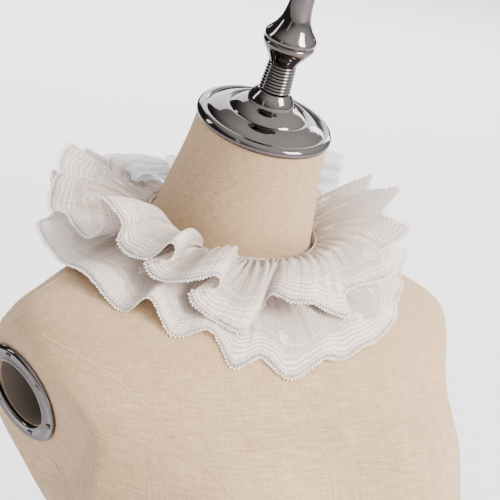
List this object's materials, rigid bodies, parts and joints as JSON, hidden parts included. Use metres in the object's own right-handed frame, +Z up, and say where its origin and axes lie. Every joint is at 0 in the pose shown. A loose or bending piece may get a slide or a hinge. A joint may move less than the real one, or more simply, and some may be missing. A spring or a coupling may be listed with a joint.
{
  "type": "ruff collar on a limbless dress form",
  "caption": "Two-tier gathered lace ruff collar, tied with a ribbon bow behind the neck, on a linen-covered limbless dress form with a turned metal neck cap.",
  "frame": {"origin": "centre of the form's flat base", "axes": "+Z up, the form faces -Y, +X is the wearer's left"},
  "size_m": [0.3696, 0.3631, 0.6041],
  "materials": {
    "linen": "matt natural linen stretched over a hard shell",
    "lace": "off-white cotton lace net with a corded border and picot edge",
    "organza_ribbon": "translucent pale organza",
    "chrome": "polished dark nickel chrome"
  },
  "bodies": {
    "root": {"form_torso": "linen", "neck_cap": "chrome", "neck_stud": "chrome", "finial": "chrome", "arm_ring_left": "chrome", "arm_ring_right": "chrome", "neckband": "lace", "lower_ruffle": "lace", "upper_ruffle": "lace", "bow_knot": "organza_ribbon", "bow_loop_left": "organza_ribbon", "bow_loop_right": "organza_ribbon", "bow_tail_left": "organza_ribbon", "bow_tail_right": "organza_ribbon"}
  },
  "joints": []
}
